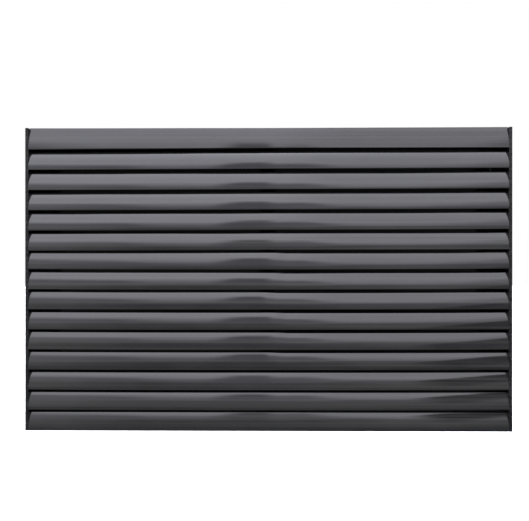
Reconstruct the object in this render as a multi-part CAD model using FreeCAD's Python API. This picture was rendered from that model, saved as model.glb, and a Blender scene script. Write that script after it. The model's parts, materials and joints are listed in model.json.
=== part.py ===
import FreeCAD, Part
import math
import os

# Louvred kick plate: fifteen fixed blades between two side rails, stiffened by a rear mullion.
# Millimetres. X runs along the blades, the front faces -Y, Z is up.
# The origin is the centre of the rear mounting plane.
# Sections are drawn in (u, z): u is the depth behind the front plane, z the height above the blade's lip.

PANEL_WIDTH = 610.0
BLADE_PITCH = 25.4
BLADE_COUNT = 15
PANEL_DEPTH = 20.0
PANEL_HEIGHT = BLADE_PITCH * BLADE_COUNT
PANEL_BOTTOM = -PANEL_HEIGHT / 2.0

BLADE_WALL = 1.6
NOSE_RADIUS = 0.5
LIP_LEG_DEPTH = 7.5
LOUVRE_FACE_TOP = 21.1
LOUVRE_TILTS = (0.0, 24.0)
LOUVRE_BEND_RADIUS = 0.8
HEADER_TILTS = (2.0, 14.0)
HEADER_BEND_RADIUS = 0.5

TOP_SHELF_DEPTH = 8.0
UPSTAND_DEPTH = 14.0
UPSTAND_FOOT = 27.0
UPSTAND_TOP = 33.0
CLOSING_FLANGE = 9.0

RAIL_WEB = 4.0
RAIL_TOP_SETBACK = 1.0
RAIL_LEG_WIDTH = 22.0
RAIL_LEG_WALL = 3.0
RAIL_EDGE_BREAK = 0.4

PORT_RADIUS = 2.7
PORT_OVERLAP = 0.5
PORT_SLIT = 0.8
SCREW_RADIUS = 1.6
SCREW_HEAD_RADIUS = 3.4
SCREW_LENGTH = 16.0
SCREW_CLEARANCE_RADIUS = 2.0
RECESS_WIDTH = 0.7
RECESS_SPAN = 3.6
RECESS_DEPTH = 1.0

MULLION_WIDTH = 20.0
MULLION_WALL = 3.0
RIVET_RADIUS = 1.6
RIVET_HEAD_RADIUS = 2.6
RIVET_HEAD_HEIGHT = 0.8
RIVET_TAIL_RADIUS = 2.5
RIVET_TAIL_HEIGHT = 0.9
LOUVRE_RIVET_Z = (UPSTAND_FOOT + UPSTAND_TOP) / 2.0
HEADER_RIVET_Z = BLADE_PITCH - BLADE_WALL - (CLOSING_FLANGE - BLADE_WALL) / 2.0
SILL_RIVET_Z = BLADE_WALL + (CLOSING_FLANGE - BLADE_WALL) / 2.0

NUT_SPACING_X = 584.0
NUT_SPACING_Z = 12.0 * BLADE_PITCH
NUT_THREAD_RADIUS = 2.5
NUT_SHANK_RADIUS = 3.4
NUT_FLANGE_RADIUS = 4.2
NUT_FLANGE_HEIGHT = 3.4

BLADE_HALF_LENGTH = PANEL_WIDTH / 2.0 - RAIL_WEB
REAR_DEPTH = UPSTAND_DEPTH + BLADE_WALL
PORT_REACH = PORT_RADIUS - PORT_OVERLAP
ALONG_X = FreeCAD.Vector(1, 0, 0)
ALONG_Y = FreeCAD.Vector(0, 1, 0)


def place(u, z, x=0.0):
    return FreeCAD.Vector(x, u - PANEL_DEPTH, z)


def on_arc(centre, radius, tilt):
    # the point whose outward normal looks forward and is raised by tilt degrees
    angle = math.radians(tilt)
    return (centre[0] - radius * math.cos(angle), centre[1] + radius * math.sin(angle))


def face_arc(top, tilts, bend_radius):
    # radius and centre of the convex face, so that the bend above it ends level with top
    low = math.radians(tilts[0])
    high = math.radians(tilts[1])
    start = on_arc((NOSE_RADIUS, NOSE_RADIUS), NOSE_RADIUS, tilts[0])
    rise = top - start[1] - bend_radius * (1.0 - math.sin(high))
    radius = rise / (math.sin(high) - math.sin(low))
    centre = (start[0] + radius * math.cos(low), start[1] - radius * math.sin(low))
    return radius, centre


def arc_depth(radius, centre, z):
    return centre[0] - math.sqrt(radius ** 2 - (z - centre[1]) ** 2)


def section_edges(points_and_arcs):
    # a list of (u, z) points; an arc is written as a pair (middle, end)
    edges = []
    here = points_and_arcs[0]
    for step in points_and_arcs[1:]:
        if isinstance(step[0], tuple):
            arc = Part.Arc(place(*here), place(*step[0]), place(*step[1]))
            edges.append(arc.toShape())
            here = step[1]
        else:
            edges.append(Part.makeLine(place(*here), place(*step)))
            here = step
    return edges


def port_centres(top, tilts, bend_radius):
    radius, centre = face_arc(top, tilts, bend_radius)
    inner = radius - BLADE_WALL - PORT_REACH
    low_z = BLADE_WALL + PORT_REACH
    high_z = top - BLADE_WALL - PORT_REACH
    return [(arc_depth(inner, centre, low_z), low_z), (arc_depth(inner, centre, high_z), high_z)]


def blade_solid(top, tilts, bend_radius, top_run, foot_run):
    radius, centre = face_arc(top, tilts, bend_radius)
    nose = (NOSE_RADIUS, NOSE_RADIUS)
    nose_start = (NOSE_RADIUS, 0.0)
    nose_middle = on_arc(nose, NOSE_RADIUS, (tilts[0] - 90.0) / 2.0)
    nose_end = on_arc(nose, NOSE_RADIUS, tilts[0])
    face_middle = on_arc(centre, radius, (tilts[0] + tilts[1]) / 2.0)
    face_end = on_arc(centre, radius, tilts[1])
    bend = on_arc(centre, radius - bend_radius, tilts[1])
    bend_middle = on_arc(bend, bend_radius, (tilts[1] + 90.0) / 2.0)
    bend_end = (bend[0], bend[1] + bend_radius)
    inner = radius - BLADE_WALL
    inner_top = (arc_depth(inner, centre, top - BLADE_WALL), top - BLADE_WALL)
    inner_foot = (arc_depth(inner, centre, BLADE_WALL), BLADE_WALL)
    inner_middle = (arc_depth(inner, centre, top / 2.0), top / 2.0)
    outline = [nose_start, (nose_middle, nose_end), (face_middle, face_end), (bend_middle, bend_end)]
    outline += top_run
    outline += [inner_top, (inner_middle, inner_foot)]
    outline += foot_run
    outline.append(nose_start)
    section = Part.Face(Part.Wire(section_edges(outline)))
    section.translate(FreeCAD.Vector(-BLADE_HALF_LENGTH, 0, 0))
    solid = section.extrude(FreeCAD.Vector(2.0 * BLADE_HALF_LENGTH, 0, 0))
    return with_ports(solid, port_centres(top, tilts, bend_radius))


def with_ports(solid, centres):
    length = 2.0 * BLADE_HALF_LENGTH
    for u, z in centres:
        start = place(u, z, -BLADE_HALF_LENGTH)
        solid = solid.fuse(Part.makeCylinder(PORT_RADIUS, length, start, ALONG_X))
    for u, z in centres:
        start = place(u, z, -BLADE_HALF_LENGTH)
        solid = solid.cut(Part.makeCylinder(SCREW_RADIUS, length, start, ALONG_X))
        slit = Part.makeBox(length, PORT_RADIUS + 0.5, PORT_SLIT, place(u, z - PORT_SLIT / 2.0, -BLADE_HALF_LENGTH))
        solid = solid.cut(slit)
    return solid.removeSplitter()


def sloped_top_run(top):
    # shelf, rising leg and upstand, then back along their undersides one wall below
    rise = math.atan2(UPSTAND_FOOT - top, UPSTAND_DEPTH - TOP_SHELF_DEPTH)
    shifted_u = TOP_SHELF_DEPTH + BLADE_WALL * math.sin(rise)
    shifted_z = top - BLADE_WALL * math.cos(rise)
    under_foot = shifted_z + math.tan(rise) * (REAR_DEPTH - shifted_u)
    under_shelf = shifted_u + (top - BLADE_WALL - shifted_z) / math.tan(rise)
    return [
        (TOP_SHELF_DEPTH, top),
        (UPSTAND_DEPTH, UPSTAND_FOOT),
        (UPSTAND_DEPTH, UPSTAND_TOP),
        (REAR_DEPTH, UPSTAND_TOP),
        (REAR_DEPTH, under_foot),
        (under_shelf, top - BLADE_WALL),
    ]


def flat_top_run(top):
    # level cap with a rear flange turned down
    return [
        (REAR_DEPTH, top),
        (REAR_DEPTH, top - CLOSING_FLANGE),
        (UPSTAND_DEPTH, top - CLOSING_FLANGE),
        (UPSTAND_DEPTH, top - BLADE_WALL),
    ]


def short_foot_run():
    return [(LIP_LEG_DEPTH, BLADE_WALL), (LIP_LEG_DEPTH, 0.0)]


def closing_foot_run():
    # level floor with a rear flange turned up
    return [
        (UPSTAND_DEPTH, BLADE_WALL),
        (UPSTAND_DEPTH, CLOSING_FLANGE),
        (REAR_DEPTH, CLOSING_FLANGE),
        (REAR_DEPTH, 0.0),
    ]


def rivet_hole(z):
    return Part.makeCylinder(RIVET_RADIUS, 2.0 * BLADE_WALL, place(UPSTAND_DEPTH - BLADE_WALL / 2.0, z), ALONG_Y)


def louvre_blade():
    run = sloped_top_run(LOUVRE_FACE_TOP)
    solid = blade_solid(LOUVRE_FACE_TOP, LOUVRE_TILTS, LOUVRE_BEND_RADIUS, run, short_foot_run())
    return solid.cut(rivet_hole(LOUVRE_RIVET_Z))


def header_blade():
    run = flat_top_run(BLADE_PITCH)
    solid = blade_solid(BLADE_PITCH, HEADER_TILTS, HEADER_BEND_RADIUS, run, short_foot_run())
    return solid.cut(rivet_hole(HEADER_RIVET_Z))


def sill_blade():
    run = sloped_top_run(LOUVRE_FACE_TOP)
    solid = blade_solid(LOUVRE_FACE_TOP, LOUVRE_TILTS, LOUVRE_BEND_RADIUS, run, closing_foot_run())
    solid = solid.cut(rivet_hole(LOUVRE_RIVET_Z))
    return solid.cut(rivet_hole(SILL_RIVET_Z))


def lip_height(row):
    # height of the lip of blade number row, counted from 1 at the top
    return PANEL_BOTTOM + (BLADE_COUNT - row) * BLADE_PITCH


def screw_points():
    # (u, z) of every blade end screw, two to a blade
    points = []
    for row in range(1, BLADE_COUNT + 1):
        if row == 1:
            centres = port_centres(BLADE_PITCH, HEADER_TILTS, HEADER_BEND_RADIUS)
        else:
            centres = port_centres(LOUVRE_FACE_TOP, LOUVRE_TILTS, LOUVRE_BEND_RADIUS)
        for u, z in centres:
            points.append((u, lip_height(row) + z))
    return points


def rivet_heights():
    heights = [lip_height(1) + HEADER_RIVET_Z, lip_height(BLADE_COUNT) + SILL_RIVET_Z]
    for row in range(2, BLADE_COUNT + 1):
        heights.append(lip_height(row) + LOUVRE_RIVET_Z)
    return heights


def nut_points(sides):
    return [(side * NUT_SPACING_X / 2.0, up * NUT_SPACING_Z / 2.0) for side in sides for up in (-1, 1)]


def countersunk_hole(u, z, side):
    outer = side * PANEL_WIDTH / 2.0
    inward = FreeCAD.Vector(-side, 0, 0)
    sink_depth = SCREW_HEAD_RADIUS - SCREW_CLEARANCE_RADIUS
    sink = Part.makeCone(SCREW_HEAD_RADIUS, SCREW_CLEARANCE_RADIUS, sink_depth, place(u, z, outer), inward)
    bore = Part.makeCylinder(SCREW_CLEARANCE_RADIUS, RAIL_WEB, place(u, z, outer), inward)
    return sink.fuse(bore)


def side_rail(side):
    height = PANEL_HEIGHT - RAIL_TOP_SETBACK
    outer = side * PANEL_WIDTH / 2.0
    web_start = min(outer, outer - side * RAIL_WEB)
    web = Part.makeBox(RAIL_WEB, PANEL_DEPTH, height, FreeCAD.Vector(web_start, -PANEL_DEPTH, PANEL_BOTTOM))
    front_edges = [edge for edge in web.Edges if is_front_upright(edge)]
    web = web.makeChamfer(RAIL_EDGE_BREAK, front_edges)
    inner = outer - side * RAIL_WEB
    leg_start = min(inner, inner - side * RAIL_LEG_WIDTH)
    leg = Part.makeBox(RAIL_LEG_WIDTH, RAIL_LEG_WALL, height, FreeCAD.Vector(leg_start, -RAIL_LEG_WALL, PANEL_BOTTOM))
    rail = web.fuse(leg).removeSplitter()
    for u, z in screw_points():
        rail = rail.cut(countersunk_hole(u, z, side))
    for x, z in nut_points((side,)):
        start = FreeCAD.Vector(x, -RAIL_LEG_WALL, z)
        rail = rail.cut(Part.makeCylinder(NUT_SHANK_RADIUS, RAIL_LEG_WALL, start, ALONG_Y))
    return rail


def is_front_upright(edge):
    middle = edge.CenterOfMass
    upright = abs(edge.Vertexes[0].Z - edge.Vertexes[1].Z) > BLADE_PITCH
    return upright and abs(middle.y + PANEL_DEPTH) < 0.001


def blade_screw(u, z, side):
    outer = side * PANEL_WIDTH / 2.0
    inward = FreeCAD.Vector(-side, 0, 0)
    head_depth = SCREW_HEAD_RADIUS - SCREW_RADIUS
    head = Part.makeCone(SCREW_HEAD_RADIUS, SCREW_RADIUS, head_depth, place(u, z, outer), inward)
    shank_length = SCREW_LENGTH - 2.0 * SCREW_RADIUS
    shank = Part.makeCylinder(SCREW_RADIUS, shank_length, place(u, z, outer), inward)
    tip_start = place(u, z, outer - side * shank_length)
    tip = Part.makeCone(SCREW_RADIUS, SCREW_RADIUS / 4.0, 2.0 * SCREW_RADIUS, tip_start, inward)
    screw = head.fuse(shank).fuse(tip).removeSplitter()
    recess_start = min(outer, outer - side * RECESS_DEPTH)
    for wide, tall in ((RECESS_SPAN, RECESS_WIDTH), (RECESS_WIDTH, RECESS_SPAN)):
        corner = place(u - wide / 2.0, z - tall / 2.0, recess_start)
        screw = screw.cut(Part.makeBox(RECESS_DEPTH, wide, tall, corner))
    return screw


def centre_mullion():
    start = place(REAR_DEPTH, PANEL_BOTTOM, -MULLION_WIDTH / 2.0)
    bar = Part.makeBox(MULLION_WIDTH, MULLION_WALL, PANEL_HEIGHT - RAIL_TOP_SETBACK, start)
    for z in rivet_heights():
        bar = bar.cut(Part.makeCylinder(RIVET_RADIUS, MULLION_WALL, place(REAR_DEPTH, z), ALONG_Y))
    return bar


def mullion_rivet(z):
    # domed head in front of the upstand, flattened tail behind the mullion
    dome_radius = (RIVET_HEAD_RADIUS ** 2 + RIVET_HEAD_HEIGHT ** 2) / (2.0 * RIVET_HEAD_HEIGHT)
    ball = Part.makeSphere(dome_radius, place(UPSTAND_DEPTH - RIVET_HEAD_HEIGHT + dome_radius, z))
    keep = Part.makeCylinder(dome_radius, RIVET_HEAD_HEIGHT, place(UPSTAND_DEPTH - RIVET_HEAD_HEIGHT, z), ALONG_Y)
    head = ball.common(keep)
    grip = BLADE_WALL + MULLION_WALL
    shank = Part.makeCylinder(RIVET_RADIUS, grip, place(UPSTAND_DEPTH, z), ALONG_Y)
    tail_start = place(REAR_DEPTH + MULLION_WALL, z)
    tail = Part.makeCone(RIVET_TAIL_RADIUS, RIVET_RADIUS, RIVET_TAIL_HEIGHT, tail_start, ALONG_Y)
    return head.fuse(shank).fuse(tail)


def clinch_nut(x, z):
    flange_start = FreeCAD.Vector(x, -RAIL_LEG_WALL - NUT_FLANGE_HEIGHT, z)
    flange = Part.makeCylinder(NUT_FLANGE_RADIUS, NUT_FLANGE_HEIGHT, flange_start, ALONG_Y)
    length = NUT_FLANGE_HEIGHT + RAIL_LEG_WALL
    shank = Part.makeCylinder(NUT_SHANK_RADIUS, length, flange_start, ALONG_Y)
    thread = Part.makeCylinder(NUT_THREAD_RADIUS, length, flange_start, ALONG_Y)
    return flange.fuse(shank).cut(thread).removeSplitter()


def save(name, shape):
    shape.exportStep("parts/" + name + ".step")
    print(name, shape.isValid(), len(shape.Solids), round(shape.Volume, 1))


def raised(shape, row):
    moved = shape.copy()
    moved.translate(FreeCAD.Vector(0, 0, lip_height(row)))
    return moved


os.makedirs("parts", exist_ok=True)
save("side_rail_left", side_rail(-1))
save("side_rail_right", side_rail(1))
save("header_blade", raised(header_blade(), 1))
louvre = louvre_blade()
for number in range(2, BLADE_COUNT):
    save("louvre_blade_%02d" % number, raised(louvre, number))
save("sill_blade", raised(sill_blade(), BLADE_COUNT))
save("centre_mullion", centre_mullion())
save("blade_screws_left", Part.makeCompound([blade_screw(u, z, -1) for u, z in screw_points()]))
save("blade_screws_right", Part.makeCompound([blade_screw(u, z, 1) for u, z in screw_points()]))
save("mullion_rivets", Part.makeCompound([mullion_rivet(z) for z in rivet_heights()]))
save("mounting_nuts", Part.makeCompound([clinch_nut(x, z) for x, z in nut_points((-1, 1))]))
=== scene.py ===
import json
import math
import random

import bmesh
import bpy
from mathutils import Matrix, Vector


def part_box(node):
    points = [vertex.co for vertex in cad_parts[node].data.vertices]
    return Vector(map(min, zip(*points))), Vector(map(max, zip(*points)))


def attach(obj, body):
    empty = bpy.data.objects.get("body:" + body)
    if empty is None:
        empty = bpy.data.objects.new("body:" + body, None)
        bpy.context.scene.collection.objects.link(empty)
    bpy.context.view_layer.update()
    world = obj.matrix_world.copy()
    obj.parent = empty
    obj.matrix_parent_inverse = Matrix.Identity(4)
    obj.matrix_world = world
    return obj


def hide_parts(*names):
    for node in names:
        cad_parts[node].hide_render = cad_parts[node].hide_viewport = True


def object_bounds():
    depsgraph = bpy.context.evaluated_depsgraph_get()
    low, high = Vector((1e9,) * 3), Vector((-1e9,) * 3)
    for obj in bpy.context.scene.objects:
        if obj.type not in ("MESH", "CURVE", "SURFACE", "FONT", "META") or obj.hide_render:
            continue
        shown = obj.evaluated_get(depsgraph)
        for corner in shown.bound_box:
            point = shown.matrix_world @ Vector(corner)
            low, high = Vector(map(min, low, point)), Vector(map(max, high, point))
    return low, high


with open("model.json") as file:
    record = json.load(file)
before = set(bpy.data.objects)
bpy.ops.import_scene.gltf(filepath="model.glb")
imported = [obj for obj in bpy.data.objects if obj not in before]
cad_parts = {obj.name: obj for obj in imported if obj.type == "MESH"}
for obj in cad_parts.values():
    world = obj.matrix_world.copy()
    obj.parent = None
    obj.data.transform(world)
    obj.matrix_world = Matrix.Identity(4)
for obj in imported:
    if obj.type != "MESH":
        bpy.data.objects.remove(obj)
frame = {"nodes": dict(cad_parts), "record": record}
CAD_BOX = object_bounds()
LOW, HIGH = CAD_BOX
NODES = frame["nodes"]
MM = 0.001
TOP_ROW = 1
BOTTOM_ROW = 15

# ---------------------------------------------------------------- node helpers


class Graph:
    """Short calls for building a node tree."""

    def __init__(self, tree):
        self.tree = tree
        tree.nodes.clear()

    def node(self, kind, **settings):
        """A new node with its settings."""
        made = self.tree.nodes.new(kind)
        for key, value in settings.items():
            setattr(made, key, value)
        return made

    def feed(self, socket, value):
        """A plain value goes on the socket itself, anything else is linked to it."""
        if isinstance(value, (int, float, tuple)):
            socket.default_value = value
        else:
            self.tree.links.new(value, socket)

    def math(self, operation, a, b=None):
        made = self.node("ShaderNodeMath", operation=operation)
        self.feed(made.inputs[0], a)
        if b is not None:
            self.feed(made.inputs[1], b)
        return made.outputs[0]

    def add(self, *terms):
        total = terms[0]
        for term in terms[1:]:
            total = self.math("ADD", total, term)
        return total

    def times(self, *terms):
        total = terms[0]
        for term in terms[1:]:
            total = self.math("MULTIPLY", total, term)
        return total

    def ramp(self, value, low, high, start=0.0, end=1.0):
        """A smooth step from start to end while the value goes from low to high."""
        made = self.node("ShaderNodeMapRange", interpolation_type="SMOOTHSTEP", clamp=True)
        for socket, item in zip(made.inputs, (value, low, high, start, end)):
            self.feed(socket, item)
        return made.outputs[0]

    def bell(self, value, centre, width):
        """One at the centre, fading to both sides."""
        offset = self.math("DIVIDE", self.math("SUBTRACT", value, centre), width)
        return self.math("EXPONENT", self.times(offset, offset, -1.0))

    def place(self, scale, shift=(0.0, 0.0, 0.0)):
        """Object coordinates, scaled and shifted."""
        coords = self.node("ShaderNodeTexCoord")
        mapping = self.node("ShaderNodeMapping")
        self.feed(mapping.inputs["Vector"], coords.outputs["Object"])
        self.feed(mapping.inputs["Scale"], scale)
        self.feed(mapping.inputs["Location"], shift)
        return mapping.outputs[0]

    def noise(self, scale, detail=3.0, rough=0.5, shift=(0.0, 0.0, 0.0)):
        made = self.node("ShaderNodeTexNoise")
        self.feed(made.inputs["Vector"], self.place(scale, shift))
        self.feed(made.inputs["Scale"], 1.0)
        self.feed(made.inputs["Detail"], detail)
        self.feed(made.inputs["Roughness"], rough)
        return made.outputs["Fac"]

    def mix(self, factor, a, b):
        made = self.node("ShaderNodeMix", data_type="RGBA")
        self.feed(made.inputs[0], factor)
        self.feed(made.inputs[6], a)
        self.feed(made.inputs[7], b)
        return made.outputs[2]

    def edges(self, radius, low=0.02, high=0.30):
        """One along convex and concave edges, zero on open faces."""
        round_off = self.node("ShaderNodeBevel", samples=4)
        self.feed(round_off.inputs["Radius"], radius)
        shape = self.node("ShaderNodeNewGeometry")
        facing = self.node("ShaderNodeVectorMath", operation="DOT_PRODUCT")
        self.feed(facing.inputs[0], round_off.outputs[0])
        self.feed(facing.inputs[1], shape.outputs["Normal"])
        return self.ramp(self.math("SUBTRACT", 1.0, facing.outputs["Value"]), low, high)

    def bump(self, height, distance, normal=None):
        made = self.node("ShaderNodeBump")
        self.feed(made.inputs["Strength"], 1.0)
        self.feed(made.inputs["Distance"], distance)
        self.feed(made.inputs["Height"], height)
        if normal is not None:
            self.feed(made.inputs["Normal"], normal)
        return made.outputs[0]


def grey(value, blue=1.0):
    """A neutral colour, with its blue channel scaled."""
    return (value, value, value * blue, 1.0)


def principled(name):
    """A material holding one shader, with the graph to feed it."""
    material = bpy.data.materials.new(name)
    material.use_nodes = True
    graph = Graph(material.node_tree)
    shader = graph.node("ShaderNodeBsdfPrincipled")
    output = graph.node("ShaderNodeOutputMaterial")
    graph.tree.links.new(shader.outputs[0], output.inputs[0])
    return material, graph, shader


# ---------------------------------------------------------------- materials

# Width and grey of the lightened paint edges: partly rubbed paint, partly a painted highlight along edges
# and bends.
RUBBED_AND_HIGHLIGHT_WIDTH = 0.0004
RUBBED_AND_HIGHLIGHT_GREY = 0.030
PEEL_DEPTH = 0.000004


def black_paint(name, deep, dusty, gloss, shine=0.5, streaks=0.000018):
    """Gloss coating over an extrusion: faint die lines, orange peel, dust, and edges lightened partly as
    rubbed paint and partly as a painted highlight.

    deep and dusty are the greys of clean and dusty paint, gloss the roughness, shine the
    specular level and streaks the depth of the die lines in metres.
    """
    material, graph, shader = principled(name)
    dust = graph.noise((22.0, 60.0, 60.0), 4.0, 0.6)
    tint = graph.mix(graph.ramp(dust, 0.35, 0.75), grey(deep, 1.25), grey(dusty, 1.15))
    lines = graph.noise((1.2, 900.0, 900.0), 3.0, 0.65)
    drawn = graph.noise((0.9, 340.0, 340.0), 2.0, 0.6, shift=(3.0, 0.0, 0.0))
    tint = graph.mix(graph.ramp(drawn, 0.44, 0.66), tint, grey(dusty * 1.9))
    specks = graph.ramp(graph.noise((900.0, 900.0, 900.0), 1.0, 0.5), 0.70, 0.78, 0.0, 0.35)
    tint = graph.mix(specks, tint, grey(dusty * 1.8))
    # Patchy lighter grey along convex and concave edges: partly rubbed paint, partly a painted highlight.
    wear_and_highlight_patches = graph.ramp(graph.noise((90.0, 90.0, 90.0), 3.0, 0.6), 0.42, 0.62)
    rubbed_and_highlight = graph.times(graph.edges(RUBBED_AND_HIGHLIGHT_WIDTH), wear_and_highlight_patches)
    tint = graph.mix(graph.times(rubbed_and_highlight, 0.7), tint, grey(RUBBED_AND_HIGHLIGHT_GREY))
    graph.feed(shader.inputs["Base Color"], tint)
    broad = graph.noise((5.0, 40.0, 120.0), 2.0, 0.5)
    rough = graph.add(gloss, graph.times(graph.math("SUBTRACT", broad, 0.5), 0.07))
    uneven = graph.times(graph.math("SUBTRACT", lines, 0.5), 0.05)
    rough = graph.add(rough, uneven, graph.times(rubbed_and_highlight, 0.12))
    graph.feed(shader.inputs["Roughness"], rough)
    shader.inputs["IOR"].default_value = 1.5
    shader.inputs["Specular IOR Level"].default_value = shine
    peel = graph.noise((420.0, 420.0, 420.0), 1.0, 0.4)
    normal = graph.bump(peel, PEEL_DEPTH)
    normal = graph.bump(lines, streaks, normal=normal)
    normal = graph.bump(drawn, streaks * 2.2, normal=normal)
    graph.feed(shader.inputs["Normal"], normal)
    return material


def plated_steel(name, colour, rough):
    """Bare or plated metal: cloudy dulling, bright rubbed edges and a fine grain."""
    material, graph, shader = principled(name)
    cloud = graph.noise((260.0, 260.0, 260.0), 4.0, 0.6)
    dull = tuple(channel * 0.72 for channel in colour[:3]) + (1.0,)
    bright = tuple(min(1.0, channel * 1.25) for channel in colour[:3]) + (1.0,)
    tint = graph.mix(graph.ramp(cloud, 0.35, 0.7), colour, dull)
    polished = graph.times(graph.edges(0.0002), 0.8)
    graph.feed(shader.inputs["Base Color"], graph.mix(polished, tint, bright))
    shader.inputs["Metallic"].default_value = 1.0
    fine = graph.noise((1400.0, 1400.0, 1400.0), 2.0, 0.5)
    graph.feed(shader.inputs["Roughness"], graph.add(rough, graph.times(cloud, 0.18)))
    graph.feed(shader.inputs["Normal"], graph.bump(fine, 0.00001))
    return material


BLADE_PAINT = black_paint("blade_paint", 0.0035, 0.0065, 0.055)
HEADER_PAINT = black_paint("header_paint", 0.0035, 0.0065, 0.055, shine=0.41, streaks=0.000007)
RAIL_PAINT = black_paint("rail_paint", 0.0040, 0.0072, 0.16, shine=0.19)
MULLION_PAINT = black_paint("mullion_paint", 0.0080, 0.0130, 0.30)
ZINC = plated_steel("zinc_steel", (0.52, 0.54, 0.57, 1.0), 0.22)
RIVET = plated_steel("rivet_aluminium", (0.62, 0.63, 0.65, 1.0), 0.25)
SLOT_LOOKS = {
    "blade_paint": BLADE_PAINT,
    "rail_paint": RAIL_PAINT,
    "mullion_paint": MULLION_PAINT,
    "zinc_steel": ZINC,
    "rivet_aluminium": RIVET,
}

for entry in frame["record"]["subparts"]:
    for holder in NODES[entry["node"]].material_slots:
        holder.material = SLOT_LOOKS[entry["material_slot"]]

# ---------------------------------------------------------------- blade sections
#
# A section is drawn in millimetres: u is the depth behind the front plane and z the height
# above the blade's lip.

NOSE = 0.3
WALL = 1.6
LIP_LEG = 7.5
SHELF = 8.0
UPSTAND = 14.0
UPSTAND_FOOT = 27.0
UPSTAND_CREST = 33.0
FLANGE = 9.0
REAR = UPSTAND + WALL
CORNER = 0.35
PORT_OUTER = 2.7
PORT_INNER = 1.6
PORT_REACH = 2.2
HALF_SLIT = 0.4

# Straight pieces in each curved stretch.
BEND_STEPS = 8
FACE_STEPS = 36
INSIDE_STEPS = 24
PORT_OUTER_STEPS = 28
PORT_INNER_STEPS = 24

# Shapes: height of the top edge, tilts at the foot and head of the face, radius of the top bend.
LOUVRE = (21.1, (0.0, 24.0), 0.8)
HEADER = (25.4, (3.8, 14.0), 0.5)
SHORT_FOOT = [(LIP_LEG, WALL), (LIP_LEG, 0.0)]
CLOSING_FOOT = [(UPSTAND, WALL), (UPSTAND, FLANGE), (REAR, FLANGE), (REAR, 0.0)]


def arc_points(centre, radius, start, end, count):
    """Points whose outward normal tilts up from start to end degrees, looking forward."""
    points = []
    for step in range(count + 1):
        tilt = math.radians(start + (end - start) * step / count)
        points.append((centre[0] - radius * math.cos(tilt), centre[1] + radius * math.sin(tilt)))
    return points


def face_circle(top, tilts, bend):
    """Radius and centre of the arc that the face follows."""
    low, high = (math.radians(tilt) for tilt in tilts)
    start_u = NOSE - NOSE * math.cos(low)
    start_z = NOSE + NOSE * math.sin(low)
    rise = top - start_z - bend * (1.0 - math.sin(high))
    radius = rise / (math.sin(high) - math.sin(low))
    return radius, (start_u + radius * math.cos(low), start_z - radius * math.sin(low))


def circle_depth(radius, centre, z):
    """Depth of an arc's front at height z."""
    return centre[0] - math.sqrt(radius ** 2 - (z - centre[1]) ** 2)


def rounded(before, corner, after, radius, count=4):
    """The corner replaced by a short arc that touches both sides."""
    ax, az = before[0] - corner[0], before[1] - corner[1]
    bx, bz = after[0] - corner[0], after[1] - corner[1]
    la, lb = math.hypot(ax, az), math.hypot(bx, bz)
    ax, az, bx, bz = ax / la, az / la, bx / lb, bz / lb
    half = math.acos(max(-1.0, min(1.0, ax * bx + az * bz))) / 2.0
    reach = min(radius / math.tan(half), la * 0.45, lb * 0.45)
    points = []
    for step in range(count + 1):
        t = step / count
        p = (1 - t) ** 2 * reach
        q = t ** 2 * reach
        points.append((corner[0] + ax * p + bx * q, corner[1] + az * p + bz * q))
    return points


def blade_outline(top, tilts, bend, top_run, foot_run):
    """Closed outline of a blade's section, from its lip up the face and back down the inside."""
    radius, centre = face_circle(top, tilts, bend)
    outline = arc_points((NOSE, NOSE), NOSE, -90.0, tilts[0], BEND_STEPS)
    outline += arc_points(centre, radius, tilts[0], tilts[1], FACE_STEPS)[1:]
    last = outline[-1]
    high = math.radians(tilts[1])
    bend_centre = (last[0] + bend * math.cos(high), last[1] - bend * math.sin(high))
    outline += arc_points(bend_centre, bend, tilts[1], 90.0, BEND_STEPS)[1:]
    inner = radius - WALL
    inner_top = (circle_depth(inner, centre, top - WALL), top - WALL)
    inner_foot = (circle_depth(inner, centre, WALL), WALL)
    chain = [outline[-1]] + top_run + [inner_top]
    for index in range(1, len(chain) - 1):
        outline += rounded(chain[index - 1], chain[index], chain[index + 1], CORNER)
    for step in range(INSIDE_STEPS + 1):
        z = inner_top[1] + (inner_foot[1] - inner_top[1]) * step / INSIDE_STEPS
        outline.append((circle_depth(inner, centre, z), z))
    chain = [inner_foot] + foot_run + [outline[0]]
    for index in range(1, len(chain) - 1):
        outline += rounded(chain[index - 1], chain[index], chain[index + 1], CORNER)
    return outline


def port_outlines(top, tilts, bend):
    """A slit tube just under the top bend and just above the lip."""
    radius, centre = face_circle(top, tilts, bend)
    reach = radius - WALL - PORT_REACH
    outer_gap = math.asin(HALF_SLIT / PORT_OUTER)
    inner_gap = math.asin(HALF_SLIT / PORT_INNER)
    outlines = []
    for z in (WALL + PORT_REACH, top - WALL - PORT_REACH):
        middle = circle_depth(reach, centre, z)
        ring = []
        for step in range(PORT_OUTER_STEPS + 1):
            angle = outer_gap + (2 * math.pi - 2 * outer_gap) * step / PORT_OUTER_STEPS
            ring.append((middle + PORT_OUTER * math.cos(angle), z + PORT_OUTER * math.sin(angle)))
        for step in range(PORT_INNER_STEPS + 1):
            angle = 2 * math.pi - inner_gap - (2 * math.pi - 2 * inner_gap) * step / PORT_INNER_STEPS
            ring.append((middle + PORT_INNER * math.cos(angle), z + PORT_INNER * math.sin(angle)))
        outlines.append(ring[::-1])
    return outlines


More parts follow.
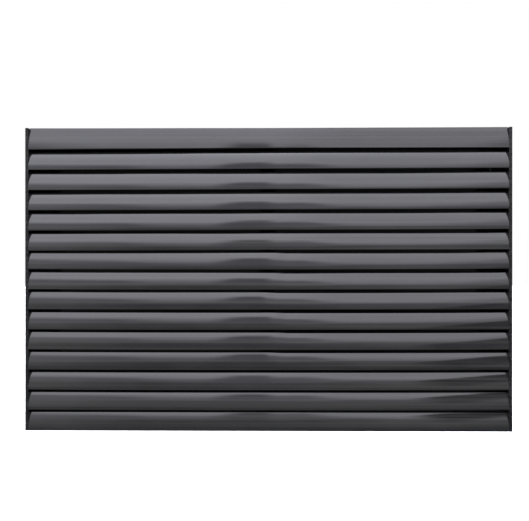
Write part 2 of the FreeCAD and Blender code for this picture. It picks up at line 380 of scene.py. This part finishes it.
def sloped_top_run(top):
    """Shelf, slope and upstand that rise behind the blade above."""
    rise = math.atan2(UPSTAND_FOOT - top, UPSTAND - SHELF)
    shifted_u = SHELF + WALL * math.sin(rise)
    shifted_z = top - WALL * math.cos(rise)
    under_foot = shifted_z + math.tan(rise) * (REAR - shifted_u)
    under_shelf = shifted_u + (top - WALL - shifted_z) / math.tan(rise)
    return [(SHELF, top), (UPSTAND, UPSTAND_FOOT), (UPSTAND, UPSTAND_CREST), (REAR, UPSTAND_CREST),
            (REAR, under_foot), (under_shelf, top - WALL)]


def flat_top_run(top):
    """Flat shelf and a flange turned down, closing the panel's top."""
    return [(REAR, top), (REAR, top - FLANGE), (UPSTAND, top - FLANGE), (UPSTAND, top - WALL)]


# ---------------------------------------------------------------- blades
#
# Each blade is set a little off its even place, leans and sags, as in a real panel. Only its
# front moves: wholly as far back as FREE_DEPTH, then less and less, and not at all behind
# FIXED_DEPTH. Lengths are in millimetres and leans in degrees.

STATIONS = 200
SHARP_ANGLE = 32.0
FREE_DEPTH = 6.0
FIXED_DEPTH = 12.0
HEADER_BOW = 1.8
UPPER_ROWS = 6
UPPER_SETTLE = 1.2
LEFT_SETTLE = 1.4
LOWER_LEFT_SETTLE = 0.4
LOWER_PITCH_LOSS = 0.20
TOP_STRETCH = 1.8
STRETCH_LOSS = 0.17
SILL_STRETCH = 1.1
STEPPED_ROWS = range(7, 13)
STEP_WIDTH = 6.0
STEP_LEAN = 0.35
STEP_RISE = 0.35


def wave(terms, x):
    """Sum of sine waves, each a size, a length and a phase."""
    return sum(size * math.sin(math.tau * x / length + phase) for size, length, phase in terms)


def lip_settle(row, along):
    """How far a lip hangs below its even spacing, in millimetres, along running from -1 (left) to 1."""
    left = max(0.0, -along)
    if row <= UPPER_ROWS:
        return UPPER_SETTLE + LEFT_SETTLE * left
    if row == BOTTOM_ROW:
        return 0.0
    return LOWER_PITCH_LOSS * (UPPER_ROWS + 1 - row) + LOWER_LEFT_SETTLE * left


def face_stretch(row, along):
    """How much taller than its section a face stands, in millimetres."""
    if row == TOP_ROW:
        return lip_settle(row, along)
    if row == BOTTOM_ROW:
        return SILL_STRETCH
    return max(0.0, TOP_STRETCH - STRETCH_LOSS * row)


def skin_over(mesh, stations):
    """A closed tube through rings of points, with both ends capped."""
    rings = [[mesh.verts.new(point) for point in ring] for ring in stations]
    for previous, current in zip(rings, rings[1:]):
        for index in range(len(current)):
            after = (index + 1) % len(current)
            mesh.faces.new((previous[index], previous[after], current[after], current[index]))
    mesh.faces.new(rings[0][::-1])
    mesh.faces.new(rings[-1])


def lean_waves(dice):
    """One long, two middling and two short waves in a blade's lean, in degrees and millimetres."""
    lean = [(dice.uniform(0.30, 0.60), dice.uniform(900.0, 1800.0), dice.uniform(0, math.tau))]
    for _ in range(2):
        lean.append((dice.uniform(0.10, 0.26), dice.uniform(170.0, 420.0), dice.uniform(0, math.tau)))
    for _ in range(2):
        lean.append((dice.uniform(0.02, 0.05), dice.uniform(60.0, 130.0), dice.uniform(0, math.tau)))
    return lean


def blade_rings(low, high, row, shape, outline):
    """The outline carried along the blade, with the slight lean and bow of a long extrusion."""
    dice = random.Random(100 + row)
    set_lean = dice.gauss(0.0, 0.6)
    sag = dice.uniform(0.4, 0.9) if TOP_ROW < row < BOTTOM_ROW else 0.0
    lean = lean_waves(dice)
    step_at = dice.uniform(0.0, 24.0)
    step_size = 1.0 if row in STEPPED_ROWS else 0.0
    rings = []
    for station in range(STATIONS + 1):
        along = 2.0 * station / STATIONS - 1.0
        x = low[0] + (high[0] - low[0]) * (along + 1.0) / 2.0
        step = step_size * math.tanh((x / MM - step_at) / STEP_WIDTH)
        bow = HEADER_BOW * (1.0 - along ** 2) if row == TOP_ROW else 0.0
        tip = math.radians(set_lean + bow + wave(lean, x / MM) + STEP_LEAN * step)
        lowered = sag * (1.0 - along ** 2) + lip_settle(row, along)
        stretch = face_stretch(row, along) - STEP_RISE * step
        ring = []
        for u, z in outline:
            hold = max(0.0, min(1.0, (FIXED_DEPTH - u) / (FIXED_DEPTH - FREE_DEPTH)))
            depth = max(0.0, u + tip * z * hold)
            height = z - hold * (lowered - stretch * min(1.0, z / shape[0]))
            ring.append((x, LOW[1] + depth * MM, low[2] + height * MM))
        rings.append(ring)
    return rings


def blade(node, row, shape, top_run, foot_run):
    """A blade and its screw ports, drawn finely enough for the gloss, in place of the CAD node."""
    low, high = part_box(node)
    mesh = bmesh.new()
    skin_over(mesh, blade_rings(low, high, row, shape, blade_outline(*shape, top_run, foot_run)))
    for port in port_outlines(*shape):
        ends = [[(x, LOW[1] + u * MM, low[2] + z * MM) for u, z in port] for x in (low[0], high[0])]
        skin_over(mesh, ends)
    bmesh.ops.recalc_face_normals(mesh, faces=mesh.faces)
    data = bpy.data.meshes.new(node + "_skin")
    mesh.to_mesh(data)
    mesh.free()
    data.shade_smooth()
    data.set_sharp_from_angle(angle=math.radians(SHARP_ANGLE))
    data.materials.append(HEADER_PAINT if row == TOP_ROW else BLADE_PAINT)
    piece = bpy.data.objects.new(node + "_skin", data)
    bpy.context.scene.collection.objects.link(piece)
    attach(piece, "root")
    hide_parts(node)


blade("header_blade", TOP_ROW, HEADER, flat_top_run(HEADER[0]), SHORT_FOOT)
for number in range(TOP_ROW + 1, BOTTOM_ROW):
    blade("louvre_blade_%02d" % number, number, LOUVRE, sloped_top_run(LOUVRE[0]), SHORT_FOOT)
blade("sill_blade", BOTTOM_ROW, LOUVRE, sloped_top_run(LOUVRE[0]), CLOSING_FOOT)

# ---------------------------------------------------------------- floor, backdrop, light and camera

FLOOR_GAP = 0.0004
FLOOR_REACH = 12.0
BACKDROP_RADIUS = 16.0
FLAG_DISTANCE = 0.25
SLIT_FRONT = 0.0152
SLIT_BACK = 0.0176
SLIT_FLAG_LIFT = 0.0006
CAMERA_DISTANCE = 0.580


def glowing(name, level):
    """A material that gives off an even grey light."""
    material = bpy.data.materials.new(name)
    material.use_nodes = True
    graph = Graph(material.node_tree)
    glow = graph.node("ShaderNodeEmission")
    glow.inputs[0].default_value = grey(level)
    output = graph.node("ShaderNodeOutputMaterial")
    graph.tree.links.new(glow.outputs[0], output.inputs[0])
    return material


def stage_piece(name, data, material):
    """An object of the studio, not of the part."""
    data.materials.append(material)
    piece = bpy.data.objects.new(name, data)
    bpy.context.scene.collection.objects.link(piece)
    return piece


def flat_sheet(name, corners):
    data = bpy.data.meshes.new(name)
    data.from_pydata(corners, [], [(0, 1, 2, 3)])
    return data


def plain_floor():
    material, graph, shader = principled("pale_floor")
    shade = graph.noise((3.0, 3.0, 3.0), 3.0, 0.5)
    graph.feed(shader.inputs["Base Color"], graph.mix(shade, grey(0.88), grey(0.92)))
    shader.inputs["Roughness"].default_value = 0.85
    level = LOW[2] - FLOOR_GAP
    ends = (-FLOOR_REACH, FLOOR_REACH)
    corners = [(ends[0], ends[0], level), (ends[1], ends[0], level),
               (ends[1], ends[1], level), (ends[0], ends[1], level)]
    piece = stage_piece("floor", flat_sheet("floor", corners), material)
    piece.visible_glossy = False
    piece.visible_diffuse = False
    piece.visible_shadow = False


def pale_backdrop():
    """A wide pale dome that only the camera sees."""
    dome = bmesh.new()
    bmesh.ops.create_uvsphere(dome, u_segments=32, v_segments=16, radius=BACKDROP_RADIUS)
    data = bpy.data.meshes.new("backdrop")
    dome.to_mesh(data)
    dome.free()
    piece = stage_piece("backdrop", data, glowing("pale_backdrop", 1.0))
    piece.visible_glossy = False
    piece.visible_diffuse = False
    piece.visible_transmission = False
    piece.visible_shadow = False


def lamp_share(graph, side, height):
    """One inside the lamp and zero below the floor line, with a soft, partly lit edge between.

    A tall and a short flag stand in front of the lamp near the middle, a wall ends it on the
    left, and its right half reaches lower.
    """
    tall = graph.times(graph.ramp(side, -8.0, -3.5), graph.ramp(side, -0.2, 1.1, 1.0, 0.0))
    short = graph.times(graph.ramp(side, -0.2, 1.4), graph.ramp(side, 4.0, 9.0, 1.0, 0.0))
    left_wall = graph.ramp(side, -20.0, -13.0, 1.0, 0.0)
    right_half = graph.ramp(side, 4.0, 12.0)
    start = graph.add(12.0, graph.times(tall, 15.0), graph.times(left_wall, 7.0),
                      graph.times(right_half, -4.0), graph.times(short, 9.0),
                      graph.times(graph.bell(side, 9.5, 7.0), 4.0),
                      graph.ramp(side, 16.0, 34.0, 0.0, 15.0))
    end = graph.add(32.0, graph.times(tall, 3.0), graph.times(left_wall, -3.0),
                    graph.times(right_half, -5.0), graph.ramp(side, 24.0, 34.0, 0.0, 6.0))
    floor_start = graph.add(9.0, graph.times(right_half, 3.0))
    floor_end = graph.add(13.5, graph.times(right_half, 4.0))
    dim = graph.add(0.20, graph.times(right_half, 0.22), graph.times(tall, -0.08),
                    graph.times(left_wall, -0.06))
    full = graph.times(graph.math("SUBTRACT", 1.0, dim), graph.ramp(height, start, end))
    return graph.times(graph.add(dim, full), graph.ramp(height, floor_start, floor_end))


def floor_glow(graph, side, height):
    """Light coming back from the floor and the low parts of the room."""
    far_floor = graph.ramp(height, -24.0, -4.0, 0.24, 0.52)
    horizon = graph.ramp(height, 2.0, 10.0, 0.0, 0.2)
    right_patch = graph.times(graph.bell(side, 18.0, 11.0), graph.ramp(height, -10.0, 4.0, 0.0, 0.42))
    left_patch = graph.times(graph.ramp(side, -28.0, -14.0, 1.0, 0.0),
                             graph.ramp(height, -12.0, 8.0, 0.1, 0.5))
    right_shade = graph.times(graph.ramp(side, 8.0, 30.0), graph.ramp(height, -14.0, -2.0, -0.30, 0.0))
    near_floor = graph.ramp(height, -62.0, -28.0, 1.6, 0.0)
    return graph.add(far_floor, horizon, right_patch, left_patch, right_shade, near_floor)


def studio_light():
    """A soft wide lamp above and in front that fades down to a dim floor, and a weak one behind.

    Angles are in degrees: height above the horizon, side to the right of straight ahead.
    """
    world = bpy.data.worlds.new("studio")
    bpy.context.scene.world = world
    world.use_nodes = True
    graph = Graph(world.node_tree)
    coords = graph.node("ShaderNodeTexCoord")
    split = graph.node("ShaderNodeSeparateXYZ")
    graph.feed(split.inputs[0], coords.outputs["Generated"])
    x, y, z = split.outputs
    degrees = 180.0 / math.pi
    height = graph.times(graph.math("ARCSINE", z), degrees)
    side = graph.times(graph.math("ARCTAN2", x, graph.times(y, -1.0)), degrees)
    lamp_level = graph.times(graph.ramp(side, 0.0, 12.0, 4.08, 3.5),
                             graph.ramp(height, 30.0, 56.0, 1.0, 1.25))
    overhead = graph.times(graph.ramp(height, 53.0, 76.0), graph.bell(x, 0.0, 0.6),
                           graph.ramp(y, -0.02, -0.14), 25.0)
    ground = floor_glow(graph, side, height)
    lamp = graph.times(lamp_share(graph, side, height),
                       graph.math("SUBTRACT", graph.add(lamp_level, 0.08), ground))
    front = graph.ramp(y, 0.15, -0.15)
    rear = graph.times(graph.math("SUBTRACT", 1.0, front), graph.bell(height, -3.0, 14.0), 1.2)
    level = graph.add(graph.times(front, graph.add(lamp, ground)), overhead, rear, 0.03)
    colour = graph.node("ShaderNodeCombineColor")
    graph.feed(colour.inputs[0], graph.times(level, 0.985))
    graph.feed(colour.inputs[1], graph.times(level, 0.985))
    graph.feed(colour.inputs[2], graph.times(level, graph.ramp(height, -2.0, 22.0, 0.955, 1.075)))
    shine = graph.node("ShaderNodeBackground")
    graph.feed(shine.inputs[0], colour.outputs[0])
    output = graph.node("ShaderNodeOutputWorld")
    graph.tree.links.new(shine.outputs[0], output.inputs[0])


def soft_cloth():
    """Dark cloth that fades out at its left, upper and lower edges."""
    material = bpy.data.materials.new("flag_cloth")
    material.use_nodes = True
    graph = Graph(material.node_tree)
    coords = graph.node("ShaderNodeTexCoord")
    split = graph.node("ShaderNodeSeparateXYZ")
    graph.feed(split.inputs[0], coords.outputs["Generated"])
    across, _, up = split.outputs
    band = graph.times(graph.ramp(up, 0.0, 0.35), graph.ramp(up, 0.85, 1.0, 1.0, 0.0),
                       graph.ramp(across, 0.0, 0.2))
    cloth = graph.node("ShaderNodeEmission")
    cloth.inputs[0].default_value = grey(0.42)
    clear = graph.node("ShaderNodeBsdfTransparent")
    blend = graph.node("ShaderNodeMixShader")
    graph.feed(blend.inputs[0], band)
    graph.tree.links.new(clear.outputs[0], blend.inputs[1])
    graph.tree.links.new(cloth.outputs[0], blend.inputs[2])
    output = graph.node("ShaderNodeOutputMaterial")
    graph.tree.links.new(blend.outputs[0], output.inputs[0])
    return material


def side_flag():
    """A soft-edged dark flag low on the right, seen only as a reflection in the lower blades."""
    left, right, low, high = -0.23, 0.17, -0.065, 0.065
    corners = [(left, 0, low), (right, 0, low), (right, 0, high), (left, 0, high)]
    piece = stage_piece("side_flag", flat_sheet("side_flag", corners), soft_cloth())
    piece.location = (0.455, LOW[1] - FLAG_DISTANCE, -0.008)
    piece.rotation_euler = (0.0, math.radians(-33.0), 0.0)
    piece.visible_camera = False
    piece.visible_diffuse = False
    piece.visible_shadow = False


def slit_flag():
    """A narrow black strip over the slit behind the header, so no light falls down it."""
    level = HIGH[2] + SLIT_FLAG_LIFT
    near, far = LOW[1] + SLIT_FRONT, LOW[1] + SLIT_BACK
    corners = [(LOW[0], near, level), (HIGH[0], near, level), (HIGH[0], far, level), (LOW[0], far, level)]
    piece = stage_piece("slit_flag", flat_sheet("slit_flag", corners), glowing("slit_cloth", 0.0))
    piece.visible_camera = False


def camera():
    """Almost square on, close enough for the blade tops to draw in at their ends."""
    data = bpy.data.cameras.new("camera")
    data.sensor_width = 36.0
    data.lens = 31.544
    data.shift_x = 0.0005
    data.shift_y = 0.0346
    data.clip_start = 0.01
    data.clip_end = 100.0
    holder = bpy.data.objects.new("camera", data)
    holder.location = ((LOW[0] + HIGH[0]) / 2.0, LOW[1] - CAMERA_DISTANCE, (LOW[2] + HIGH[2]) / 2.0)
    holder.rotation_euler = (math.pi / 2.0, 0.0, math.radians(0.44))
    bpy.context.scene.collection.objects.link(holder)
    bpy.context.scene.camera = holder


plain_floor()
pale_backdrop()
studio_light()
side_flag()
slit_flag()
camera()
bpy.context.scene.view_settings.view_transform = "Standard"
